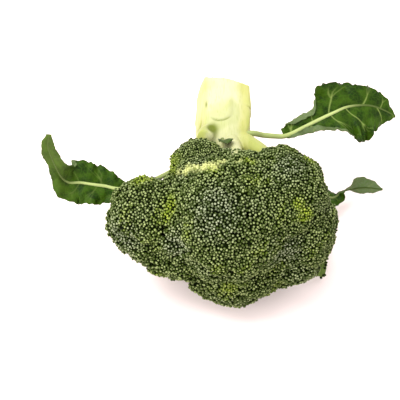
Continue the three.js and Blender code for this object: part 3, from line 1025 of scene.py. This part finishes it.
def make_leaf(name, skin, seed):
    """A leaf: its blade as a thin sheet with two faces, and its stem, which runs on as the rib."""
    leaf = LEAVES[name]
    rows, columns = leaf["grid"]
    line, length = spline(leaf["rib"], RIB_SAMPLES)
    shape = Shape()
    start = leaf["blade_from"]
    share = np.linspace(0, 1, RIB_SAMPLES)
    u = np.linspace(0, 1, rows)
    along = start + (1 - start) * u
    rib = np.stack([np.interp(along, share, line[:, k]) for k in range(3)], -1)
    ahead = unit(np.gradient(rib, axis=0))
    side = read_along(leaf["sides"], u)
    side = unit(side - ahead * np.sum(side * ahead, 1)[:, None])
    up = np.cross(side, ahead)
    s = u * (1 - start) * length
    half = columns // 2
    sheets = []
    for which, sign in ((0, 1), (1, -1)):
        width = read_along(leaf["widths"][which], u)
        rng = np.random.default_rng(seed + which)
        notches = sum(
            np.sin(s * math.tau / every + rng.uniform(0, math.tau)) * deep
            for every, deep in EDGE_WAVES
        )
        fold_at = read_along(leaf["folds"][which], u)
        width = width * (1 + notches) / np.clip(fold_at + 0.06, 0.3, 1.0)
        share_out = np.linspace(0, 1, half + 1) ** 1.05
        t = width[:, None] * share_out[None]
        wave = np.sin(s * 0.36 + rng.uniform(0, 6)) + 0.6 * np.sin(s * 0.78 + rng.uniform(0, 6))
        theta = (
            leaf["rise"] * (1 - share_out)[None]
            + FOLDED * smooth(share_out[None] - fold_at[:, None], -0.04, 0.12)
            + leaf["ruffle"] * wave[:, None] * share_out[None] ** 1.5
        )
        dt = np.diff(t, axis=1)
        mid = (theta[:, 1:] + theta[:, :-1]) / 2
        zero = np.zeros((rows, 1))
        out = np.concatenate([zero, np.cumsum(dt * np.cos(mid), 1)], 1)
        high = np.concatenate([zero, np.cumsum(dt * np.sin(mid), 1)], 1)
        vein, bulge = leaf_veins(
            s[:, None] + 0 * t, t, width[:, None] + 0 * t, leaf["vein_gap"], 1.0 + 1.7 * which
        )
        vein = np.maximum(vein * leaf["veins"], read_along(leaf["pale"], u)[:, None])
        high = high + 0.8 * bulge * smooth(t, 0.5, 4) * smooth(width[:, None] - t, 0, 5)
        outward = side * sign - ahead * leaf.get("lean", 0) * (which == 1)
        grid = rib[:, None] + outward[:, None] * out[:, :, None] + up[:, None] * high[:, :, None]
        sheets.append((grid, vein, t * sign, np.repeat(s[:, None], half + 1, 1)))
    # The two sides are joined at the rib into one sheet, from one edge to the other.
    parts = [np.concatenate([a[:, :0:-1], b], 1) for a, b in zip(sheets[1], sheets[0])]
    grid, vein, across, along_mm = parts
    du = np.gradient(grid, axis=0)
    dv = np.gradient(grid, axis=1)
    normal = unit(np.cross(dv, du))
    wide = grid.shape[1]
    top = grid + normal * (LEAF_THICKNESS / 2 + 0.12 * vein)[:, :, None]
    low = grid - normal * (LEAF_THICKNESS / 2 + 0.35 * vein)[:, :, None]
    a = (np.arange(rows - 1)[:, None] * wide + np.arange(wide - 1)).ravel()
    quads = np.stack([a, a + 1, a + wide + 1, a + wide], -1)
    n = rows * wide
    rim = np.concatenate(
        [
            np.arange(wide),
            np.arange(1, rows) * wide + wide - 1,
            (rows - 1) * wide + np.arange(wide - 2, -1, -1),
            np.arange(rows - 2, 0, -1) * wide,
        ]
    )
    after = np.roll(rim, -1)
    edge = np.stack([rim, rim + n, after + n, after], -1)
    both = [quads, quads[:, ::-1] + n, edge]
    shape.add(
        np.concatenate([top.reshape(-1, 3), low.reshape(-1, 3)]),
        both,
        vein=np.tile(vein.ravel() * 0.8, 2),
        below=np.concatenate([np.zeros(n), np.ones(n)]),
        along=np.tile(along_mm.ravel() + seed, 2),
        across=np.tile(across.ravel(), 2),
    )
    # The stem runs on as the rib, wide where it leaves the stalk and thin at the leaf's tip.
    run = np.linspace(0, 1, 90)
    stem_line = np.stack([np.interp(run, share, line[:, k]) for k in range(3)], -1)
    radii = leaf["stem"] * (1.05 - 0.85 * run**1.1 + 0.9 * np.exp(-run * length / 5))
    showing = leaf["rib_shows"] * (0.7 + 0.3 * smooth(run, start - 0.05, start + 0.05))
    showing = showing * (1 - 0.85 * smooth(run, 0.6, 0.8))
    add_tube(shape, stem_line, np.maximum(radii, 0.35), 14, 0.04, rib=showing)
    make_piece(f"{name}_leaf", shape, skin, "leaf", f"leaf_{name}")


# ---------------------------------------------------------------- the add-on
def colour(name, value, description):
    """A property that holds a colour as hex."""
    return StringProperty(name=name, default=value, description=description)


class BroccoliSettings(bpy.types.PropertyGroup):
    """Sizes and colours of the head."""

    seed: IntProperty(name="Seed", default=7, description="Picks another head of the same kind")
    stalk_radius: FloatProperty(
        name="Stalk radius", default=0.020, unit="LENGTH", description="Of the stout lower part"
    )
    bud_spacing: FloatProperty(
        name="Bud spacing", default=0.0021, unit="LENGTH", description="From one bud to the next"
    )
    sprig_spacing: FloatProperty(
        name="Sprig spacing", default=0.0095, unit="LENGTH",
        description="From one small dome of buds to the next",
    )
    bud_base: colour("Bud foot", "#060b00", "Foot of a bud, in the shade of its neighbours")
    bud_side: colour("Bud side", "#2b390a", "Sides of the sepals")
    bud_fresh: colour("Fresh bud", "#66791a", "Sides of the sepals where the head is freshest")
    # The tip colours are partly the waxy bloom and partly a painted highlight on the tops of the
    # buds.
    bud_tip: colour("Bud tip", "#929d66", "Bloom on the tip of a bud")
    bud_fresh_tip: colour("Fresh tip", "#9da83e", "Tip of a fresh yellow-green bud")
    bud_cream: colour("Cream bud", "#c8ca84", "The youngest buds, in the gaps between florets")
    bud_bloom: colour("Grey bloom", "#9aa082", "Bloom where it is thickest")
    # Painted shade: the dark dome under the buds stands for the shade in the gaps between them.
    bud_gap_shade: colour("Between buds", "#0a1200", "The dome under the buds")
    stem_pale: colour("Pale stem", "#aab066", "Fine stems near the branches")
    stem_green: colour("Green stem", "#5f7528", "Fine stems near the buds")
    stalk_cream: colour("Stalk cream", "#b8b68e", "Palest skin of the stalk")
    # The yellow of the flanks is partly the skin's own colour and partly painted shade.
    stalk_yellow_and_shade: colour("Stalk yellow", "#a8a662", "Yellower skin of the stalk")
    stalk_green: colour("Stalk green", "#808b30", "Greener skin near the branches")
    # The scar colour also paints the shade in the hollow beside the side floret.
    stalk_scar_and_shade: colour("Scar", "#5b6608", "Edges of leaf scars")
    stalk_cut: colour("Cut end", "#b2b07c", "The cut end of the stalk")
    leaf_dark: colour("Leaf dark", "#172a03", "Upper face of a leaf")
    leaf_mid: colour("Leaf green", "#2e4508", "Paler clouds on the upper face")
    leaf_below: colour("Leaf underside", "#566340", "Grey-green underside of a leaf")
    leaf_net: colour("Fine veins", "#3c5814", "The finest net of veins")
    leaf_vein: colour("Veins", "#7c8c48", "Side veins of a leaf")
    leaf_rib: colour("Rib", "#a0aa6c", "Rib and stem of a leaf")


class BROCCOLI_OT_stalk(bpy.types.Operator):
    """Grows the stalk and its branches as one skin"""

    bl_idname = "broccoli.stalk"
    bl_label = "Stalk and branches"

    def execute(self, context):
        make_stalk(stalk_skin())
        return {"FINISHED"}


class BROCCOLI_OT_florets(bpy.types.Operator):
    """Makes the fine stems and the buds of every floret"""

    bl_idname = "broccoli.florets"
    bl_label = "Florets"

    def execute(self, context):
        bud_skin, stem = waxy_bud(), stem_skin()
        sprigs = all_sprigs()
        buds = all_buds(sprigs)
        for index, name in enumerate(FLORETS):
            make_floret(name, index, sprigs, buds, bud_skin, stem)
        return {"FINISHED"}


class BROCCOLI_OT_leaves(bpy.types.Operator):
    """Makes the leaves and bracts that are left on the stalk"""

    bl_idname = "broccoli.leaves"
    bl_label = "Leaves"

    def execute(self, context):
        skin = leaf_blade()
        for seed, name in enumerate(LEAVES):
            make_leaf(name, skin, seed)
        return {"FINISHED"}


class BROCCOLI_OT_stage(bpy.types.Operator):
    """Sets the pale table, the soft studio light and the camera"""

    bl_idname = "broccoli.stage"
    bl_label = "Stage"

    def execute(self, context):
        make_stage(context.scene)
        return {"FINISHED"}


class BROCCOLI_PT_panel(bpy.types.Panel):
    """Lists the steps that make the head"""

    bl_idname = "BROCCOLI_PT_panel"
    bl_label = "Broccoli"
    bl_space_type = "VIEW_3D"
    bl_region_type = "UI"
    bl_category = "Broccoli"

    def draw(self, context):
        for step in STEPS:
            self.layout.operator(step.bl_idname)


STEPS = (BROCCOLI_OT_stalk, BROCCOLI_OT_florets, BROCCOLI_OT_leaves, BROCCOLI_OT_stage)
CLASSES = (BroccoliSettings, *STEPS, BROCCOLI_PT_panel)


def register():
    for each in CLASSES:
        bpy.utils.register_class(each)
    bpy.types.Scene.broccoli = PointerProperty(type=BroccoliSettings)


def unregister():
    del bpy.types.Scene.broccoli
    for each in reversed(CLASSES):
        bpy.utils.unregister_class(each)


# ---------------------------------------------------------------- stage
VIEW_HEIGHT = math.radians(54)  # of the camera above the table, seen from the head
VIEW_DISTANCE = 0.85
VIEW_WIDTH = 0.288  # of what the camera sees at that distance
AIM_AT = (0.0, 0.0, 132.0)  # in the plant's frame: the middle of the head
LENS_SHIFT = (-0.06, 0.055)  # how far the lens is moved off it, as shares of the picture's width
SENSOR_WIDTH = 36  # in mm
SKY_STRENGTH = 1.5
# Each lamp: where it hangs from the middle of the head in metres, its width and its power in watts.
LAMPS = {"window": ((-0.4, 0.05, 1.15), 0.8, 16), "front": ((-0.6, -0.8, 0.5), 0.9, 7)}


def make_stage(scene):
    """The table top, the even light of a studio, two soft lamps and the camera."""
    floor = make_mesh(
        "table_top",
        np.array([[-3, -3, 0], [3, -3, 0], [3, 3, 0], [-3, 3, 0]], float),
        [np.array([[0, 1, 2, 3]])],
    )
    table = bpy.data.objects.new("table_top", floor)
    scene.collection.objects.link(table)
    floor.materials.append(matt_laminate())

    world = bpy.data.worlds.new("studio")
    world.use_nodes = True
    sky = world.node_tree.nodes["Background"]
    sky.inputs["Color"].default_value = (1, 1, 1, 1)
    sky.inputs["Strength"].default_value = SKY_STRENGTH
    scene.world = world

    middle = lay([AIM_AT])[0]
    for name, (place, size, power) in LAMPS.items():
        light = bpy.data.lights.new(name, "AREA")
        light.size = size
        light.energy = power
        lamp = bpy.data.objects.new(name, light)
        scene.collection.objects.link(lamp)
        aim_at(lamp, middle + place, middle)

    camera = bpy.data.cameras.new("camera")
    camera.sensor_width = SENSOR_WIDTH
    camera.lens = SENSOR_WIDTH * VIEW_DISTANCE / VIEW_WIDTH
    eye = bpy.data.objects.new("camera", camera)
    scene.collection.objects.link(eye)
    toward = np.array([0, -math.cos(VIEW_HEIGHT), math.sin(VIEW_HEIGHT)])
    camera.shift_x, camera.shift_y = LENS_SHIFT
    aim_at(eye, middle + toward * VIEW_DISTANCE, middle)
    scene.camera = eye
    scene.view_settings.view_transform = "Standard"


def aim_at(thing, place, aim):
    """Puts a lamp or camera at a place, looking at another."""
    thing.location = Vector(place)
    thing.rotation_euler = (Vector(aim) - Vector(place)).to_track_quat("-Z", "Y").to_euler()


def main():
    """Registers the add-on and runs its steps in order."""
    register()
    for step in STEPS:
        group, name = step.bl_idname.split(".")
        getattr(getattr(bpy.ops, group), name)()
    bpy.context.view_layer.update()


if __name__ == "__main__":
    main()
